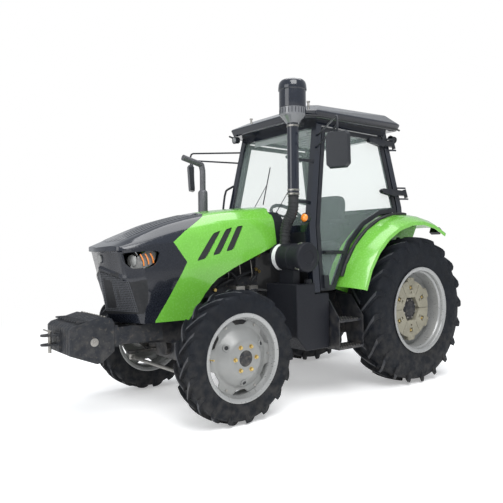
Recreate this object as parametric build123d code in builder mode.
from build123d import *
import os
from math import atan, cos, pi, radians, sin, sqrt, tan

# Farm tractor with cab, about 70 hp, four-wheel drive. Millimetres, +X ahead, +Y left, +Z up.
# The origin is on the ground at mid-length. Places along the machine are given as distances
# ahead of the rear axle, and the side, across and level planes below carry them there.

# ---- driving dimensions ------------------------------------------------------------------
REAR_AXLE_X = -1195.0            # rear axle, from the origin
WHEELBASE = 2080.0
FRONT_TRACK = 1440.0
REAR_TRACK = 1424.0

# radius over the lugs, half width, bead seat radius, lugs each side, lug height, half a lug's width
FRONT_TYRE = dict(radius=497.5, half=105.5, bead=305.0, lugs=18, lug=27.0, bar=12.0)
REAR_TYRE = dict(radius=700.0, half=180.0, bead=381.0, lugs=20, lug=34.0, bar=16.0)
LUG_SWEEP = 17.0                 # a lug's lead from its outer to its inner end, in degrees
RIM_WALL = 8.0
RIM_SIDES = 16                   # flats round a rim or disc
FRONT_FLANGE = 331.0             # rim edge radius
REAR_FLANGE = 408.0

KINGPIN_Y = 540.0                # steering pivot, from the middle
STEER_ARM = 240.0                # kingpin to tie rod end, straight ahead
TIE_ROD_Z = 338.0

HOOD_REAR = 1375.0
HOOD_WALL = 12.0
HOOD_LOWEST = 745.0

FLOOR_Z = 960.0                  # cab floor
CAB_SIDE_FOOT = 750.6            # where the cab's side plane would meet the ground
CAB_LEAN = 0.0843                # how far the side leans in for each unit of height
CAB_HEAD = 2440.0                # underside of the roof
GLASS = 5.0

FENDER_TOP = 930.0               # fender radius over the tyre, about the rear wheel
FENDER_EDGE = 850.0              # the same at its outer edge
FENDER_INNER = 497.0             # fender's inner wall, from the middle
FENDER_OUTER = 885.0
SHEET = 6.0

WEIGHTS = 10                     # front weight plates side by side
WEIGHT_HALF = 238.0              # half the stack's width
WEIGHT_GAP = 2.0

INTAKE_X = 1360.0                # intake riser
INTAKE_Y = 580.0
PRECLEANER_TOP = 2720.0
CLEANER = (1365.0, 1225.0)       # air cleaner's axis: ahead, up

LIFT_PIVOT = (-60.0, 520.0)      # lower links' front pins: ahead, up
LINK_Y = 300.0
LIFT_SHAFT = (-140.0, 960.0)     # lift arms' shaft: ahead, up
LIFT_ARM = 300.0


# ---- planes and small helpers ------------------------------------------------------------
def point(x, y, z):
    return (REAR_AXLE_X + x, y, z)


def side(y=0.0):
    """Upright plane along the machine: sketch x ahead of the rear axle, sketch y up."""
    return Plane(origin=point(0, y, 0), x_dir=(1, 0, 0), z_dir=(0, -1, 0))


def across(x):
    """Upright plane across the machine: sketch x to the left, sketch y up."""
    return Plane(origin=point(x, 0, 0), x_dir=(0, 1, 0), z_dir=(1, 0, 0))


def level(z):
    """Flat plane: sketch x ahead of the rear axle, sketch y to the left."""
    return Plane(origin=point(0, 0, z), x_dir=(1, 0, 0), z_dir=(0, 0, 1))


def cab_side(inset=0.0):
    """The cab's left side plane, leaning in: sketch x ahead of the rear axle, sketch y up it."""
    lean = atan(CAB_LEAN)
    outer = Plane(origin=point(0, CAB_SIDE_FOOT, 0), x_dir=(1, 0, 0), z_dir=(0, -cos(lean), -sin(lean)))
    return outer.offset(inset)


def cab_half(z):
    return CAB_SIDE_FOOT - CAB_LEAN * z


def shape(plane, *corners):
    """A closed outline of straight lines on a plane."""
    with BuildSketch(plane) as outline:
        with BuildLine():
            Polyline(*corners, close=True)
        make_face()
    return outline.sketch


def leaned(corners, inset=0.0):
    """An outline given by places ahead and up, carried onto the cab's leaning side."""
    return shape(cab_side(inset), *[(x, z * sqrt(1 + CAB_LEAN**2)) for x, z in corners])


def slab(outline, y_low, y_high, mode=Mode.ADD):
    """A side-view outline made solid between two distances from the middle."""
    extrude(shape(side(y_high), *outline), amount=y_high - y_low, mode=mode)


def block(x, y, z, mode=Mode.ADD):
    """A box from its low and high places along, across and up."""
    corners = [(x[0], y[0]), (x[1], y[0]), (x[1], y[1]), (x[0], y[1])]
    extrude(shape(level(z[0]), *corners), amount=z[1] - z[0], mode=mode)


def rod(start, end, radius, mode=Mode.ADD, sides=8):
    """A bar between two places, many-sided, or truly round where sides is None."""
    a, b = Vector(*point(*start)), Vector(*point(*end))
    with BuildSketch(Plane(origin=a, z_dir=b - a)) as end_face:
        if sides:
            RegularPolygon(radius, sides)
        else:
            Circle(radius)
    extrude(end_face.sketch, amount=(b - a).length, mode=mode)


def skin(rings, mode=Mode.ADD):
    """A body of flats over rings of corners, closed by its first and last ring."""
    flats = [rings[0], rings[-1]]
    for low, high in zip(rings, rings[1:]):
        for n in range(len(low)):
            a, b, c, d = low[n - 1], low[n], high[n], high[n - 1]
            if abs((b - a).cross(d - a).dot(c - a)) < 1.0:
                flats.append((a, b, c, d))
            else:
                flats += [(a, b, c), (a, c, d)]
    add(Solid(Shell([Face(Wire.make_polygon(flat)) for flat in flats])), mode=mode)


def ring(plane, corners):
    """Sketch corners carried onto a plane, as one of a skin's rings."""
    return [plane.from_local_coords((u, v, 0)) for u, v in corners]


def round_ring(plane, radius, sides):
    return ring(plane, [(radius * cos(2 * pi * n / sides), radius * sin(2 * pi * n / sides)) for n in range(sides)])


def turned(places, sides=16, mode=Mode.ADD):
    """A body turned about an axis, in flats: columns ahead, left, up, radius along the axis."""
    spots = [Vector(*point(x, y, z)) for x, y, z, r in places]
    skin([round_ring(Plane(origin=spot, z_dir=spots[-1] - spots[0]), r, sides)
          for spot, (x, y, z, r) in zip(spots, places)], mode)


def eased(corners, radius):
    """A path's places with each corner cut by an arc's ends and middle."""
    path = [Vector(*corners[0])]
    for a, b, c in zip(corners, corners[1:], corners[2:]):
        back, on = (Vector(*a) - Vector(*b)).normalized(), (Vector(*c) - Vector(*b)).normalized()
        half = radians(back.get_angle(on)) / 2
        centre = Vector(*b) + (back + on).normalized() * (radius / sin(half))
        path += [Vector(*b) + back * (radius / tan(half)),
                 centre + (Vector(*b) - centre).normalized() * radius,
                 Vector(*b) + on * (radius / tan(half))]
    path.append(Vector(*corners[-1]))
    return path


def bent_bar(corners, radius, bend, sides=8):
    """A bar along straight runs with eased corners."""
    path = eased([point(*c) for c in corners], bend)
    with BuildLine() as line:
        Polyline(*path)
    with BuildSketch(Plane(origin=path[0], z_dir=path[1] - path[0])) as end_face:
        RegularPolygon(radius, sides)
    sweep(end_face.sketch, path=line.line, transition=Transition.RIGHT)


def post(*sections):
    """A straight post skinned over level rectangles: columns z, x low, x high, y low, y high."""
    skin([ring(level(z), [(x0, y0), (x1, y0), (x1, y1), (x0, y1)]) for z, x0, x1, y0, y1 in sections])


def other_side(piece):
    """The right-hand twin of a left-hand piece."""
    with BuildPart() as twin:
        mirror(piece.part, about=Plane.XZ)
    return twin


pieces = {}


# ---- wheels ------------------------------------------------------------------------------
def wheel_face(x, y, z):
    """Plane square to a wheel's axis, facing out, with sketch y up."""
    return Plane(origin=point(x, y, z), x_dir=(-1, 0, 0), z_dir=(0, 1, 0))


def facets(x, y, z, stations, sides, mode=Mode.ADD):
    """Flats round a wheel's axis: columns outwards from the wheel's middle, radius."""
    skin([round_ring(wheel_face(x, y + out, z), r, sides) for out, r in stations], mode)


def on_tyre(centre, out, lead, radius):
    """A place on a tyre: outwards from its middle, degrees round from the top, radius."""
    turn = radians(lead)
    return centre + Vector(radius * sin(turn), out, radius * cos(turn))


def tyre(x, y, size):
    """Carcass in flats, with a ring of straight-sided lugs each side set half a pitch apart."""
    radius, half, bead, bar = size["radius"], size["half"], size["bead"], size["bar"]
    tread = radius - size["lug"]
    sides = size["lugs"]
    pitch = 360.0 / size["lugs"]
    axis = Axis(point(x, y, radius), (0, 1, 0))
    wall = bead + 0.55 * (tread - bead)
    # the crown's plane holds the lug's two ends and runs square across its inner end
    inner_end = on_tyre(Vector(*axis.position), -0.05 * half, 0, radius)
    outer_end = on_tyre(Vector(*axis.position), 0.96 * half, -LUG_SWEEP, radius - 12)
    run = outer_end - inner_end
    normal = run.cross(Vector(-1, 0, 0)).normalized()
    crown = Plane(origin=inner_end, x_dir=run, z_dir=-normal if normal.Z > 0 else normal)
    turn = 1 if crown.y_dir.X > 0 else -1
    with BuildPart() as lug:
        with BuildSketch(crown):
            with BuildLine():
                Polyline((0, -1.1 * bar), (0.4 * run.length, turn * 12 - bar), (run.length, -1.2 * bar),
                         (run.length, 1.2 * bar), (0, 0.9 * bar), close=True)
            make_face()
        extrude(amount=2.1 * size["lug"])
    with BuildPart() as inner_lug:
        mirror(lug.part, about=Plane.XZ.offset(-y))
    with BuildPart() as body:
        facets(x, y, radius, [(-0.82 * half, bead + 14), (-half, wall), (-0.88 * half, tread),
                              (0.88 * half, tread), (half, wall), (0.82 * half, bead + 14)], sides)
        with BuildSketch(wheel_face(x, y - half, radius)):
            RegularPolygon(bead + 0.2, sides, major_radius=False)
        extrude(amount=2 * half, mode=Mode.SUBTRACT)
        add([lug.part.rotate(axis, n * pitch) for n in range(size["lugs"])])
        add([inner_lug.part.rotate(axis, (n + 0.5) * pitch) for n in range(size["lugs"])])
    return body


def rim_band(x, y, size, flange, well):
    """Steel rim with bead seats and a drop well, one wall thick."""
    out, z = size["half"] - 2, size["radius"]
    seats = [(out, flange), (out - 14, size["bead"]), (out - 45, well)]
    outer = seats + [(-o, r) for o, r in reversed(seats)]
    facets(x, y, z, outer, RIM_SIDES)
    facets(x, y, z, [(out + 1, flange - RIM_WALL), (out - 45 - RIM_WALL, well - RIM_WALL),
                     (RIM_WALL + 45 - out, well - RIM_WALL), (-out - 1, flange - RIM_WALL)], RIM_SIDES,
           mode=Mode.SUBTRACT)


def front_wheel(x, y):
    """Rim, six-lobed dished disc and hub flange of a front wheel."""
    z = FRONT_TYRE["radius"]
    well, disc = 288.0, 7.0
    lobe_out, ring_out = 46.0, 120.0
    lobes = []
    for n in range(24):
        reach = well - 12 if n % 4 in (1, 2) else 246
        turn = radians(15 * n + 7.5)
        lobes.append((reach * cos(turn), reach * sin(turn)))
    with BuildPart() as wheel:
        rim_band(x, y, FRONT_TYRE, FRONT_FLANGE, well)
        with BuildSketch(wheel_face(x, y + lobe_out - disc, z)):
            with BuildLine():
                Polyline(*lobes, close=True)
            make_face()
        extrude(amount=disc)
        facets(x, y, z, [(lobe_out - 1, 212), (ring_out - 10, 142), (ring_out, 128)], RIM_SIDES)
        facets(x, y, z, [(lobe_out - disc - 1, 206), (ring_out - disc - 10, 138), (ring_out - disc, 124)], RIM_SIDES,
               mode=Mode.SUBTRACT)
        with BuildSketch(wheel_face(x, y, z)):
            with PolarLocations(177, 3, start_angle=90):
                RegularPolygon(15, 6)
        extrude(amount=ring_out, mode=Mode.SUBTRACT)
        rod((x, y + ring_out - 34, z), (x, y + ring_out + 3, z), 66, sides=12)
    return wheel


def rear_wheel(x, y):
    """Rim with its welded plate and the axle's flange."""
    z = REAR_TYRE["radius"]
    well = 360.0
    with BuildPart() as wheel:
        rim_band(x, y, REAR_TYRE, REAR_FLANGE, well)
        with BuildSketch(wheel_face(x, y - 6, z)):
            RegularPolygon(well - 5, RIM_SIDES)
            with PolarLocations(312, 3, start_angle=30):
                Rectangle(60, 110, mode=Mode.SUBTRACT)
        extrude(amount=12)
        rod((x, y + 4, z), (x, y + 46, z), 100, sides=12)
    return wheel


def wheel_weight(x, y):
    """Cast weight in three sectors round the hub, with notched edges and bolt pockets."""
    z = REAR_TYRE["radius"]
    with BuildPart() as weight:
        with BuildSketch(wheel_face(x, y + 6.2, z)):
            RegularPolygon(272, RIM_SIDES)
            with PolarLocations(274, 6, start_angle=90):
                Rectangle(44, 66)
            RegularPolygon(112, 12, mode=Mode.SUBTRACT)
            with PolarLocations(116, 6, start_angle=60):
                Rectangle(40, 50, mode=Mode.SUBTRACT)
            with PolarLocations(200, 3, start_angle=60):
                Rectangle(240, 4, mode=Mode.SUBTRACT)
        extrude(amount=50)
        with BuildSketch(wheel_face(x, y + 6.2 + 34, z)):
            with PolarLocations(206, 6, start_angle=90):
                Rectangle(46, 44)
        extrude(amount=20, mode=Mode.SUBTRACT)
    return weight


front_y, rear_y = FRONT_TRACK / 2, REAR_TRACK / 2
left_wheels = dict(
    tyre_front=tyre(WHEELBASE, front_y, FRONT_TYRE),
    wheel_front=front_wheel(WHEELBASE, front_y),
    tyre_rear=tyre(0, rear_y, REAR_TYRE),
    wheel_rear=rear_wheel(0, rear_y),
    wheel_weight=wheel_weight(0, rear_y),
)
for label, piece in left_wheels.items():
    pieces[f"{label}_left"] = piece
    pieces[f"{label}_right"] = other_side(piece)


# ---- running gear and engine -------------------------------------------------------------
hub_z = FRONT_TYRE["radius"]
axle_z = REAR_TYRE["radius"]

with BuildPart() as engine_block:
    slab([(1450, 560), (1500, 520), (1800, 520), (1850, 670), (2140, 690), (2140, 1180), (2080, 1330),
          (1500, 1330), (1450, 1240)], -170, 170)
    block((1480, 2060), (170, 230), (900, 1060))
    rod((2140, 0, 760), (2185, 0, 760), 95)
pieces["engine_block"] = engine_block

with BuildPart() as transmission_housing:
    # clutch housing, gearbox and final drive centre, then the lift housing on top
    slab([(1450, 540), (1450, 900), (1230, 900), (900, 860), (330, 860), (250, 900), (-210, 900), (-250, 860),
          (-250, 520), (-120, 440), (330, 440), (900, 480), (1300, 480)], -150, 150)
    slab([(-90, 880), (-100, 1010), (-230, 1010), (-250, 880)], -140, 140)
    rod((LIFT_SHAFT[0], -150, LIFT_SHAFT[1]), (LIFT_SHAFT[0], 150, LIFT_SHAFT[1]), 32.6, mode=Mode.SUBTRACT)
    # front drive shaft case
    rod((330, 0, 475), (1855, 0, 475), 34)
pieces["transmission_housing"] = transmission_housing

with BuildPart() as rear_axle:
    rod((0, 150, axle_z), (0, 420, axle_z), 105)
    rod((0, 420, axle_z), (0, 640, axle_z), 78)
    rod((0, 640, axle_z), (0, rear_y - 12, axle_z), 60)
    block((-90, 90), (150.5, 330), (axle_z - 108, axle_z + 130))
    mirror(about=Plane.XZ)
pieces["rear_axle"] = rear_axle

with BuildPart() as front_frame:
    # side rails from the engine to the nose, with their cross members and the axle's hangers
    slab([(1500, 590), (1500, 790), (2200, 790), (2700, 730), (2700, 600), (2300, 560), (1900, 560)], 192, 212)
    mirror(about=Plane.XZ)
    block((2640, 2680), (-192, 192), (600, 730))
    block((2150, 2190), (-192, 192), (600, 660))
    for x in (1890, 2240):
        slab([(x - 20, 400), (x + 20, 400), (x + 20, 640), (x - 20, 640)], -192, 192)
    rod((1850, 0, hub_z - 10), (2280, 0, hub_z - 10), 60.2, mode=Mode.SUBTRACT)
pieces["front_frame"] = front_frame

with BuildPart() as front_axle:
    rod((WHEELBASE, -KINGPIN_Y + 55, hub_z), (WHEELBASE, KINGPIN_Y - 55, hub_z), 62)
    rod((WHEELBASE, -105, hub_z - 10), (WHEELBASE, 105, hub_z - 10), 120, sides=16)
    rod((WHEELBASE - 225, 0, hub_z - 10), (WHEELBASE + 215, 0, hub_z - 10), 60)
    for y in (-KINGPIN_Y, KINGPIN_Y):
        rod((WHEELBASE, y, hub_z - 88), (WHEELBASE, y, hub_z + 88), 62, sides=16)
pieces["front_axle"] = front_axle

with BuildPart() as knuckle_left:
    # fork over and under the axle's end, the final drive drum inside the rim and the arm ahead
    for z in (hub_z - 126, hub_z + 94):
        with BuildSketch(level(z)):
            with Locations((WHEELBASE, KINGPIN_Y)):
                RegularPolygon(72, 10)
            with Locations((WHEELBASE, KINGPIN_Y + 60)):
                Rectangle(132, 60)
        extrude(amount=32)
    rod((WHEELBASE, KINGPIN_Y + 72, hub_z), (WHEELBASE, KINGPIN_Y + 98, hub_z), 130, sides=16)
    rod((WHEELBASE, KINGPIN_Y + 90, hub_z), (WHEELBASE, front_y + 60, hub_z), 105, sides=16)
    block((WHEELBASE, WHEELBASE + STEER_ARM - 20), (KINGPIN_Y - 22, KINGPIN_Y + 22), (hub_z - 126, hub_z - 104))
    rod((WHEELBASE + STEER_ARM, KINGPIN_Y, hub_z - 126), (WHEELBASE + STEER_ARM, KINGPIN_Y, hub_z - 104), 42)
pieces["knuckle_left"] = knuckle_left
pieces["knuckle_right"] = other_side(knuckle_left)

with BuildPart() as tie_rod:
    x, z = WHEELBASE + STEER_ARM, TIE_ROD_Z
    rod((x, 60 - KINGPIN_Y, z), (x, KINGPIN_Y - 60, z), 16)
    for y in (-KINGPIN_Y, KINGPIN_Y):
        rod((x, y, z - 20), (x, y, z + 26), 26)
        rod((x, y * 0.86, z), (x, y, z), 20)
pieces["tie_rod"] = tie_rod

with BuildPart() as radiator:
    block((2210, 2290), (-250, 250), (800, 1380))
    block((2205, 2295), (-256, 256), (1380, 1410))
    block((2205, 2295), (-256, 256), (792, 830))
pieces["radiator"] = radiator

# ---- front weights -----------------------------------------------------------------------
with BuildPart() as weight_bracket:
    slab([(2430, 600), (2430, 740), (2520, 800), (2600, 730), (2830, 730), (2830, 600)], 213, 233)
    mirror(about=Plane.XZ)
    block((2701, 2830), (-213, 213), (620, 650))
    block((2800, 2830), (-232, 232), (590, 745))
pieces["weight_bracket"] = weight_bracket

with BuildPart() as front_weights:
    pitch = (2 * WEIGHT_HALF + WEIGHT_GAP) / WEIGHTS
    for n in range(WEIGHTS):
        low = -WEIGHT_HALF + n * pitch
        slab([(3163, 560), (3163, 742), (3138, 765), (2935, 820), (2850, 800), (2830, 770), (2830, 560),
              (2925, 486), (2965, 480)], low, low + pitch - WEIGHT_GAP)
pieces["front_weights"] = front_weights

with BuildPart() as tow_clevis:
    slab([(3163, 572), (3184, 572), (3184, 708), (3163, 708)], -70, 70)
    for z in (616, 684):
        with BuildSketch(level(z)):
            with BuildLine():
                Polyline((3184, -52), (3250, -40), (3250, 40), (3184, 52), close=True)
            make_face()
            with Locations((3250, 0)):
                RegularPolygon(42, 10)
                Circle(15, mode=Mode.SUBTRACT)
        extrude(amount=12)
pieces["tow_clevis"] = tow_clevis

# ---- hood --------------------------------------------------------------------------------
# columns: ahead, then half width and height of crest edge, top edge, shoulder, side, skirt, foot
HOOD_SECTIONS = [
    (1375, (0, 1683), (230, 1668), (335, 1570), (376, 1330), (368, 1040), (330, 700)),
    (1950, (0, 1622), (225, 1604), (335, 1500), (366, 1210), (358, 980), (318, 700)),
    (2350, (0, 1535), (222, 1518), (325, 1420), (352, 1140), (340, 940), (300, 700)),
    (2650, (0, 1420), (215, 1410), (315, 1348), (338, 1120), (320, 920), (275, 700)),
    (2870, (0, 1318), (205, 1316), (290, 1308), (300, 1105), (285, 900), (245, 700)),
]
NOSE_PLAN = [(2600, 420), (2655, 330), (2795, 285), (2850, 0), (2795, -285), (2655, -330), (2600, -420)]
NOSE_SIDE = [(2545, 700), (2545, 765), (2365, 1215), (2378, 1296), (2400, 1372), (2392, 1380), (2900, 1380),
             (2900, 700)]
HOOD_ARCH = [(2215, 700), (2215, 745), (2100, 960), (1990, 1066), (1830, 1145), (1630, 1228), (1441, 1305),
             (1370, 1342), (1370, 700)]


def hood_body(inset):
    """The hood's outer form, or its hollow when inset by the wall."""
    rings = []
    for x, *corners in HOOD_SECTIONS:
        half = [(max(y - inset, 0), z - inset * 0.8) for y, z in corners]
        rings.append(ring(across(x), half + [(-y, z) for y, z in reversed(half) if y > 0]))
    skin(rings)


def hood_cut(outline, half):
    slab(outline, -half, half, mode=Mode.SUBTRACT)


with BuildPart() as hood_solid:
    hood_body(0)
    with BuildSketch(level(690)):
        with BuildLine():
            Polyline((1300, 420), *NOSE_PLAN, (1300, -420), close=True)
        make_face()
    extrude(amount=1100, mode=Mode.INTERSECT)
    # the nose's chin rises towards the front, so that it clears the weights as the hood lifts
    hood_cut([(2200, 690), (2200, HOOD_LOWEST), (2735, HOOD_LOWEST), (2870, 880), (2900, 880), (2900, 690)], 450)
    hood_cut(HOOD_ARCH, 450)

with BuildPart() as hood_hollow:
    hood_body(HOOD_WALL)
    with BuildSketch(level(600)):
        with BuildLine():
            Polyline((1300, 420), *[(x - 1.3 * HOOD_WALL, y) for x, y in NOSE_PLAN], (1300, -420), close=True)
        make_face()
    extrude(amount=1100, mode=Mode.INTERSECT)

with BuildPart() as hood_skin:
    add(hood_solid.part)
    add(hood_hollow.part, mode=Mode.SUBTRACT)
    block((1300, 1388), (-300, 300), (1200, 1645), mode=Mode.SUBTRACT)

with BuildPart() as top_zone:
    with BuildSketch(level(1250)):
        with BuildLine():
            Polyline((2900, 400), (2400, 400), (2400, 345), (2050, 262), (1930, 200), (1930, -200), (2050, -262),
                     (2400, -345), (2400, -400), (2900, -400), close=True)
        make_face()
    extrude(amount=600)
    slab([(2900, 1200), (1900, 1200), (1900, 1388), (2392, 1380), (2640, 1340), (2900, 1300)], -420, 420,
         mode=Mode.SUBTRACT)

with BuildPart() as nose_zone:
    slab(NOSE_SIDE, -420, 420)

with BuildPart() as hood_shell:
    add(hood_skin.part)
    add(top_zone.part, mode=Mode.SUBTRACT)
    add(nose_zone.part, mode=Mode.SUBTRACT)
pieces["hood_shell"] = hood_shell

with BuildPart() as hood_top:
    add(hood_skin.part)
    add(top_zone.part, mode=Mode.INTERSECT)
pieces["hood_top"] = hood_top

with BuildPart() as nose:
    add(hood_skin.part)
    add(nose_zone.part, mode=Mode.INTERSECT)
    add(top_zone.part, mode=Mode.SUBTRACT)
pieces["nose"] = nose

# ---- cab slopes ---------------------------------------------------------------------------
FRONT_LEAN = 0.191               # windscreen, back for each unit of height
REAR_LEAN = 0.216                # rear window, ahead for each unit of height


def front_x(z):
    return 1219 - FRONT_LEAN * max(z - 1500, 0)


def rear_x(z):
    return -75 + REAR_LEAN * max(z - 1700, 0)


# ---- engine's breathing and tanks --------------------------------------------------------
with BuildPart() as fuel_tank:
    slab([(1062, 440), (1330, 440), (1440, 560), (1440, 1000), (1228, 1000), (1228, 912), (1062, 912)], 300, 700)
    rod((1264, 650, 1000), (1264, 650, 1040), 34)
pieces["fuel_tank"] = fuel_tank

with BuildPart() as battery_box:
    slab([(1070, 470), (1400, 470), (1400, 860), (1070, 860)], -640, -300)
pieces["battery_box"] = battery_box

with BuildPart() as air_cleaner:
    x, z = CLEANER
    turned([(x, 392, z, 120), (x, 412, z, 120), (x, 413, z, 115), (x, 704, z, 115), (x, 705, z, 123),
            (x, 760, z, 123), (x, 770, z, 112)])
    # saddle down to the tank
    block((x - 30, x + 40), (440, 620), (1000, z - 100))
pieces["air_cleaner"] = air_cleaner

with BuildPart() as intake_pipe:
    rod((INTAKE_X, INTAKE_Y, 1770), (INTAKE_X, INTAKE_Y, 2355), 49, sides=16)
    bent_bar([(INTAKE_X, INTAKE_Y, 1771), (INTAKE_X, INTAKE_Y, 1610), (CLEANER[0], 470, 1490),
              (CLEANER[0], 470, CLEANER[1])], 46, 90, sides=12)
    add(air_cleaner.part, mode=Mode.SUBTRACT)
    # straps to the cab's front post
    for z in (1700, 2060):
        block((front_x(z) + 4, INTAKE_X - 30), (560, 580), (z - 12, z + 12))
pieces["intake_pipe"] = intake_pipe

# columns: height, radius
BOWL = [(2355, 58), (2418, 110), (2482, 110)]
CAP = [(2482, 113), (2629, 113), (2634, 121), (2694, 113), (PRECLEANER_TOP, 88)]
with BuildPart() as precleaner_bowl:
    turned([(INTAKE_X, INTAKE_Y, z, r) for z, r in BOWL])
pieces["precleaner_bowl"] = precleaner_bowl

with BuildPart() as precleaner_cap:
    turned([(INTAKE_X, INTAKE_Y, z, r) for z, r in CAP])
pieces["precleaner_cap"] = precleaner_cap

with BuildPart() as exhaust:
    bent_bar([(1600, -170, 1150), (1600, -450, 1150), (1600, -450, 2110), (1820, -450, 2165)], 28, 90)
    rod((1600, -450, 1260), (1600, -450, 1870), 46)
pieces["exhaust"] = exhaust

# ---- cab ---------------------------------------------------------------------------------
with BuildPart() as cab_frame:
    # windscreen post with its upright foot, rear post and the rail over the door
    extrude(leaned([(1144, 900), (1219, 900), (1219, 1500), (front_x(2450), 2450), (rear_x(2450), 2450),
                    (-75, 1700), (-75, 1638), (-5, 1638), (-5, 1700), (rear_x(2395) + 70, 2395),
                    (front_x(2395) - 65, 2395), (1144, 1500)]), amount=60)
    block((1100, 1300), (400, 800), (800, FLOOR_Z - 40), mode=Mode.SUBTRACT)
    block((0, 1300), (400, 800), (CAB_HEAD, 2500), mode=Mode.SUBTRACT)
    mirror(about=Plane.XZ)
    slab([(front_x(2380) - 60, 2380), (front_x(2380), 2380), (front_x(CAB_HEAD), CAB_HEAD),
          (front_x(CAB_HEAD) - 60, CAB_HEAD)], -500, 500)
    slab([(rear_x(2380), 2380), (rear_x(2380) + 60, 2380), (rear_x(CAB_HEAD) + 60, CAB_HEAD),
          (rear_x(CAB_HEAD), CAB_HEAD)], -500, 500)
    slab([(-75, 1655), (-15, 1655), (-15, 1700), (-75, 1700)], -560, 560)
    slab([(1159, 1440), (1219, 1440), (1219, 1500), (1159, 1500)], -575, 575)
pieces["cab_frame"] = cab_frame

with BuildPart() as cab_floor:
    extrude(shape(level(FLOOR_Z - 40), (-75, -496), (905, -496), (905, -600), (1143, -600), (1143, 600),
                  (905, 600), (905, 496), (-75, 496)), amount=40)
    extrude(shape(across(1196), (-611, 920), (611, 920), (cab_half(1440) - 61, 1440), (61 - cab_half(1440), 1440)),
            amount=23)
    block((1143, 1200), (-605, 605), (920, 960))
    block((-75, -60), (-496, 496), (960, 1655))
pieces["cab_floor"] = cab_floor

with BuildPart() as cab_cowl:
    extrude(shape(across(1219.2), (0, 1640), (215, 1630), (310, 1540), (345, 1350), (345, 1260), (-345, 1260),
                  (-345, 1350), (-310, 1540), (-215, 1630)), amount=146)
pieces["cab_cowl"] = cab_cowl

with BuildPart() as cab_roof:
    # columns: height, half plan of the roof at that height
    plans = [(CAB_HEAD, [(1185, 500), (1085, 590), (80, 650), (20, 630)]),
             (2505, [(1210, 520), (1100, 610), (60, 672), (-15, 650)]),
             (2600, [(1010, 400), (930, 470), (130, 570), (60, 540)])]
    skin([ring(level(z), half + [(x, -y) for x, y in reversed(half)]) for z, half in plans])
pieces["cab_roof"] = cab_roof

def pane_edge(z, x, half):
    """A pane's level section, from its outer face back."""
    return ring(level(z), [(x - GLASS, -half), (x, -half), (x, half), (x - GLASS, half)])


with BuildPart() as cab_glass:
    low, high, rear_low, inset = 1500.2, 2379.8, 1700.2, 62
    skin([pane_edge(low, front_x(low) - 20, 560), pane_edge(high, front_x(high) - 20, cab_half(high) - inset)])
    skin([pane_edge(rear_low, rear_x(rear_low) + 30, cab_half(rear_low) - inset),
          pane_edge(high, rear_x(high) + 30, cab_half(high) - inset)])
pieces["cab_glass"] = cab_glass


def fender_section(angle):
    """Plane through the rear wheel's axis at an angle up from ahead: sketch x left, sketch y away."""
    turn = radians(angle)
    return Plane(origin=point(0, 0, axle_z), x_dir=(0, 1, 0), z_dir=(sin(turn), 0, -cos(turn)))


FENDER_START, FENDER_STEP, FENDER_STEPS = 16.0, 13.0, 8      # degrees up from ahead
with BuildPart() as fenders:
    top = [(FENDER_INNER, 640), (FENDER_INNER, FENDER_TOP - 4), (640, FENDER_TOP), (790, FENDER_TOP - 30),
           (868, FENDER_EDGE + 8), (FENDER_OUTER, FENDER_EDGE - 4), (FENDER_OUTER, FENDER_EDGE - 38)]
    under = [(FENDER_OUTER - SHEET, FENDER_EDGE - 38), (FENDER_OUTER - SHEET, FENDER_EDGE - 8),
             (864, FENDER_EDGE + 1), (787, FENDER_TOP - 37), (639, FENDER_TOP - 7),
             (FENDER_INNER + SHEET, FENDER_TOP - 11), (FENDER_INNER + SHEET, 640)]
    skin([ring(fender_section(FENDER_START + n * FENDER_STEP), top + under) for n in range(FENDER_STEPS + 1)])
    mirror(about=Plane.XZ)
pieces["fenders"] = fenders

with BuildPart() as steps:
    for x in (738, 1042):
        extrude(shape(across(x), (480, 920), (496, 920), (500, 880), (664, 880), (800, 700), (800, 425), (620, 425), (560, 700),
                      (480, 860)), amount=8)
    block((746, 1042), (620, 800), (425, 445))
    block((746, 1042), (600, 780), (655, 675))
    mirror(about=Plane.XZ)
pieces["steps"] = steps

# ---- doors -------------------------------------------------------------------------------
DOOR_HINGE = ((-110, 1830), (30, 2325))      # hinge line up the cab's side: ahead, up
HINGE_OUT = 34.0                             # hinge line, out from the door's face
DOOR_FRAME = 42.0
DOOR_THICK = 30.0
DOOR_GAP = 10.0
DOOR_BAR = (955.0, 1262.0, 310.0, 30.0)      # bar between the panes: middle ahead, middle up, length, height
door_arc = FENDER_TOP + 22
DOOR_REAR = ((14.0, 1700.0), (166.0, 2385.0))      # rear edge: ahead, up
door_curve = [(door_arc * cos(radians(turn)), axle_z + door_arc * sin(radians(turn))) for turn in (25, 42, 58, 74)]
door_curve.append((8.0, axle_z + sqrt(door_arc**2 - 8.0**2)))


def door_outline(inset, margin=0.0):
    """The door's outline on a plane of the cab's side, or the same drawn in by a margin."""
    slope = sqrt(1 + CAB_LEAN**2)
    corners = [*door_curve, *DOOR_REAR, (front_x(2385) - 66 - DOOR_GAP, 2385), (1144 - DOOR_GAP, 1500),
               (1144 - DOOR_GAP, 935), (960, 935)]
    with BuildSketch(cab_side(inset)) as outline:
        with BuildLine():
            Polyline(*[(x, z * slope) for x, z in corners], close=True)
        make_face()
        if margin:
            offset(amount=-margin, kind=Kind.INTERSECTION)
    return outline.sketch


def door_bar(inset, extra=0.0):
    x, z, length, height = DOOR_BAR
    reach, high = length / 2 + extra, height / 2 + extra
    return leaned([(x - reach, z - high), (x + reach, z - high), (x + reach, z + high), (x - reach, z + high)], inset)


with BuildPart() as door_glass_left:
    extrude(door_outline(12, DOOR_FRAME + 0.1), amount=GLASS)
    extrude(door_bar(0, 0.1), amount=DOOR_THICK, mode=Mode.SUBTRACT)
pieces["door_glass_left"] = door_glass_left
pieces["door_glass_right"] = other_side(door_glass_left)


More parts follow.
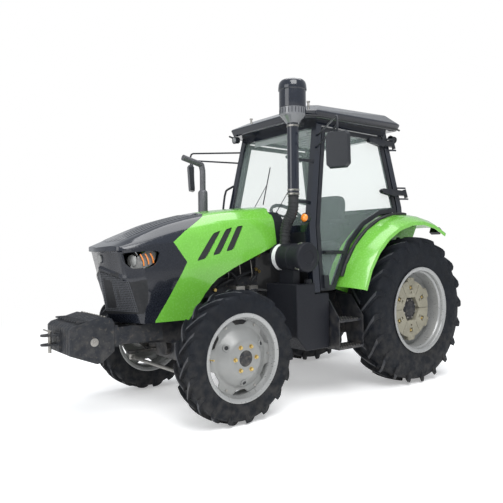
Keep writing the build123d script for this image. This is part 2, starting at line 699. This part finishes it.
# ---- door hinges: covers on the door, ears on the post ------------------------------------
def on_hinge(z):
    """The hinge line's place at a height."""
    (x0, z0), (x1, z1) = DOOR_HINGE
    return (x0 + (z - z0) * (x1 - x0) / (z1 - z0), cab_half(z) + HINGE_OUT, z)


def door_rear(z):
    """The door's rear edge at a height."""
    (x0, z0), (x1, z1) = DOOR_REAR
    return x0 + (z - z0) * (x1 - x0) / (z1 - z0)


# columns: middle height, cover's length ahead of the hinge line
HINGE_COVERS = [(1835, 375), (2315, 375)]
HINGE_TALL = 40.0
with BuildPart() as door_frame_left:
    extrude(door_outline(0), amount=DOOR_THICK)
    extrude(door_outline(0, DOOR_FRAME), amount=DOOR_THICK, mode=Mode.SUBTRACT)
    extrude(door_bar(0), amount=DOOR_THICK)
    for z, reach in HINGE_COVERS:
        x, foot = on_hinge(z)[0], door_rear(z) + 8
        extrude(leaned([(x, z - 24), (x, z + 24), (x + reach - 30, z + 30), (x + reach, z + 10), (x + reach - 20, z - 12),
                        (x + 0.45 * reach, z - 42), (x + 135, z - 24)], -HINGE_OUT - 14), amount=HINGE_OUT + 6)
        extrude(leaned([(foot + 5, z - 15), (foot + 55, z - 15), (foot + 55, z + 15), (foot + 5, z + 15)], -9),
                amount=9)
        rod(on_hinge(z - HINGE_TALL), on_hinge(z + HINGE_TALL), 18)
    # handle and lock case
    extrude(leaned([(1045, 955), (1105, 955), (1105, 1065), (1045, 1065)], -22), amount=22)
pieces["door_frame_left"] = door_frame_left
pieces["door_frame_right"] = other_side(door_frame_left)

with BuildPart() as hinge_ears:
    for z, reach in HINGE_COVERS:
        for low in (z - HINGE_TALL - 22, z + HINGE_TALL + 6):
            x, y, _ = on_hinge(low + 8)
            extrude(shape(level(low), (x - 16, y + 10), (x + 16, y + 10), (rear_x(low) + 62, cab_half(low) - 8),
                          (rear_x(low) + 10, cab_half(low) - 8)), amount=16)
    mirror(about=Plane.XZ)
    add(cab_frame.part)
pieces["cab_frame"] = hinge_ears

# ---- inside the cab ----------------------------------------------------------------------
with BuildPart() as seat:
    # pedestal, cushion and back
    slab([(400, FLOOR_Z), (720, FLOOR_Z), (680, 1250), (440, 1250)], -130, 130)
    slab([(330, 1250), (800, 1250), (820, 1340), (790, 1370), (330, 1350)], -240, 240)
    slab([(330, 1350), (450, 1362), (360, 1820), (320, 1850), (270, 1840), (270, 1500)], -230, 230)
    for y in (-290, 250):
        slab([(330, 1520), (640, 1560), (640, 1600), (330, 1570)], y, y + 40)
    block((330, 372), (-290, 290), (1515, 1560))
pieces["seat"] = seat

WHEEL_HUB = (905.0, 1600.0)      # steering wheel's middle: ahead, up
COLUMN_FOOT = (1060.0, 1400.0)
with BuildPart() as dashboard:
    slab([(1000, FLOOR_Z), (1195, FLOOR_Z), (1195, 1438), (1157, 1438), (1157, 1510), (1110, 1560), (1040, 1520),
          (990, 1400)], -210, 210)
    rod((COLUMN_FOOT[0], 0, COLUMN_FOOT[1]), (WHEEL_HUB[0] + 34, 0, WHEEL_HUB[1] - 44), 32)
pieces["dashboard"] = dashboard

column = Vector(WHEEL_HUB[0] - COLUMN_FOOT[0], 0, WHEEL_HUB[1] - COLUMN_FOOT[1]).normalized()
with BuildPart() as steering_wheel:
    wheel_plane = Plane(origin=point(WHEEL_HUB[0], 0, WHEEL_HUB[1]), x_dir=(0, 1, 0), z_dir=column)
    with BuildSketch(wheel_plane.offset(-12)):
        RegularPolygon(200, 16)
        RegularPolygon(174, 16, mode=Mode.SUBTRACT)
    extrude(amount=24)
    with BuildSketch(wheel_plane.offset(-8)):
        RegularPolygon(45, 12)
        with PolarLocations(112, 3, start_angle=90):
            Rectangle(150, 26)
    extrude(amount=12)
    rod((WHEEL_HUB[0] + 26, 0, WHEEL_HUB[1] - 34), (WHEEL_HUB[0], 0, WHEEL_HUB[1]), 20)
pieces["steering_wheel"] = steering_wheel

# ---- mirrors and lamps -------------------------------------------------------------------
MIRROR = (1345.0, 1075.0)        # end of the arm: ahead, left
MIRROR_TURN = 25.0               # the glass looks in towards the seat, in degrees
with BuildPart() as mirrors:
    x, y = MIRROR
    bent_bar([(front_x(2300) - 30, cab_half(2300) - 4, 2300), (x, y, 2335), (x, y, 2185)], 9, 30, sides=6)
    rod((front_x(2190) - 30, cab_half(2190) - 4, 2190), (x, y, 2260), 9, sides=6)
    turn = radians(MIRROR_TURN)
    ahead, across_it = Vector(cos(turn), sin(turn), -0.06), Vector(-sin(turn), cos(turn), 0)
    with BuildSketch(Plane(origin=Vector(*point(x, y, 2068)) - ahead * 24, x_dir=across_it, z_dir=ahead)):
        with BuildLine():
            Polyline((-98, -115), (-70, -145), (70, -145), (98, -115), (98, 115), (70, 145), (-70, 145), (-98, 115),
                     close=True)
        make_face()
    extrude(amount=46, taper=14)
    mirror(about=Plane.XZ)
    add(pieces["cab_frame"].part, mode=Mode.SUBTRACT)
pieces["mirrors"] = mirrors

with BuildPart() as lamps:
    # work lamps under the roof, front and rear, then the turn lamps on the front posts
    rod((1150, 470, 2405), (1195, 470, 2400), 34)
    rod((20, 545, 2385), (-35, 545, 2375), 36)
    rod((1219.5, 610, 1560), (1265, 622, 1560), 36)
    mirror(about=Plane.XZ)
    add(cab_roof.part, mode=Mode.SUBTRACT)
    add(pieces["cab_frame"].part, mode=Mode.SUBTRACT)
pieces["lamps"] = lamps

with BuildPart() as headlamps:
    slab([(2540, 1283), (2765, 1212), (2760, 1170), (2600, 1172), (2560, 1215)], 200, 400)
    add(nose.part, mode=Mode.INTERSECT)
    mirror(about=Plane.XZ)
pieces["headlamps"] = headlamps
with BuildPart() as nose_cut:
    add(nose.part)
    add(headlamps.part, mode=Mode.SUBTRACT)
nose = nose_cut
pieces["nose"] = nose

# ---- rear hitch --------------------------------------------------------------------------
LINK_END = (-860.0, 412.0)       # lower link's ball: ahead, from the middle
BALL = 14.35                     # ball eye's bore radius
pivot_x, pivot_z = LIFT_PIVOT
shaft_x, shaft_z = LIFT_SHAFT
eye_x = shaft_x - LIFT_ARM

with BuildPart() as lower_links:
    run = Vector(LINK_END[0] - pivot_x, LINK_END[1] - LINK_Y, 0)
    link_plane = Plane(origin=point(pivot_x, LINK_Y, pivot_z), x_dir=run, z_dir=run.cross(Vector(0, 0, 1)))
    with BuildSketch(link_plane):
        with BuildLine():
            Polyline((0, -30), (run.length - 30, -26), (run.length - 30, 26), (0, 30), close=True)
        make_face()
        RegularPolygon(34, 10)
    extrude(amount=9, both=True)
    rod((LINK_END[0], LINK_END[1] - 22, pivot_z), (LINK_END[0], LINK_END[1] + 22, pivot_z), 40)
    rod((LINK_END[0], LINK_END[1] - 40, pivot_z), (LINK_END[0], LINK_END[1] + 40, pivot_z), BALL,
        mode=Mode.SUBTRACT, sides=None)
    rod((pivot_x, LINK_Y - 30, pivot_z), (pivot_x, LINK_Y + 30, pivot_z), 13.1, mode=Mode.SUBTRACT)
    mirror(about=Plane.XZ)
pieces["lower_links"] = lower_links

with BuildPart() as lift_arms:
    rod((shaft_x, -218, shaft_z), (shaft_x, 218, shaft_z), 30)
    for y in (-218, 196):
        slab([(shaft_x, shaft_z - 46), (eye_x, shaft_z - 24), (eye_x, shaft_z + 24), (shaft_x, shaft_z + 46)],
             y, y + 22)
        rod((shaft_x, y, shaft_z), (shaft_x, y + 22, shaft_z), 50)
        rod((eye_x, y, shaft_z), (eye_x, y + 22, shaft_z), 28)
pieces["lift_arms"] = lift_arms

with BuildPart() as lift_rods:
    foot_x = pivot_x - LIFT_ARM
    rod((eye_x, 234, shaft_z), (foot_x, 316, pivot_z), 14, sides=8)
    rod((eye_x, 224, shaft_z), (eye_x, 243, shaft_z), 26)
    rod((foot_x, 306, pivot_z), (foot_x, 326, pivot_z), 24)
    mirror(about=Plane.XZ)
pieces["lift_rods"] = lift_rods

TOP_LINK = (-300.0, 880.0)       # top link's front pin: ahead, up
with BuildPart() as top_link:
    x, z = TOP_LINK
    rod((x, 0, z), (x - 420, 0, z + 60), 19)
    rod((x, -20, z), (x, 20, z), 32)
    rod((x - 420, -25, z + 60), (x - 420, 25, z + 60), 32)
    rod((x, -40, z), (x, 40, z), 13.1, mode=Mode.SUBTRACT)
    rod((x - 420, -40, z + 60), (x - 420, 40, z + 60), 12.75, mode=Mode.SUBTRACT, sides=None)
pieces["top_link"] = top_link

with BuildPart() as hitch_brackets:
    # ears and pins for the lower links under the axle, and for the top link behind the housing
    for y in (LINK_Y - 50, LINK_Y + 36):
        slab([(pivot_x - 34, pivot_z - 34), (pivot_x + 34, pivot_z - 34), (pivot_x + 60, axle_z - 60),
              (pivot_x - 20, axle_z - 60)], y, y + 14)
    rod((pivot_x, LINK_Y - 50, pivot_z), (pivot_x, LINK_Y + 50, pivot_z), 12)
    mirror(about=Plane.XZ)
    for y in (-44, 30):
        slab([(-250, 830), (TOP_LINK[0] - 30, TOP_LINK[1] - 26), (TOP_LINK[0] - 30, TOP_LINK[1] + 26), (-250, 930)],
             y, y + 14)
    rod((TOP_LINK[0], -44, TOP_LINK[1]), (TOP_LINK[0], 44, TOP_LINK[1]), 12)
    add(rear_axle.part, mode=Mode.SUBTRACT)
pieces["hitch_brackets"] = hitch_brackets

with BuildPart() as drawbar:
    with BuildSketch(level(404)):
        with BuildLine():
            Polyline((200, -36), (200, 36), (-600, 36), (-600, -36), close=True)
        make_face()
        with Locations((-600, 0)):
            RegularPolygon(39, 10)
            Circle(15, mode=Mode.SUBTRACT)
    extrude(amount=36)
pieces["drawbar"] = drawbar

with BuildPart() as pto_shaft:
    rod((-250, 0, 620), (-262, 0, 620), 60)
    with BuildSketch(across(-262)):
        with Locations((0, 620)):
            Circle(17.5)
            with PolarLocations(17.5, 6):
                Rectangle(5, 9, mode=Mode.SUBTRACT)
    extrude(amount=-76)
pieces["pto_shaft"] = pto_shaft

# ---- files -------------------------------------------------------------------------------
os.makedirs("parts", exist_ok=True)
for label, piece in pieces.items():
    piece.part.label = label
    export_step(piece.part, f"parts/{label}.step")
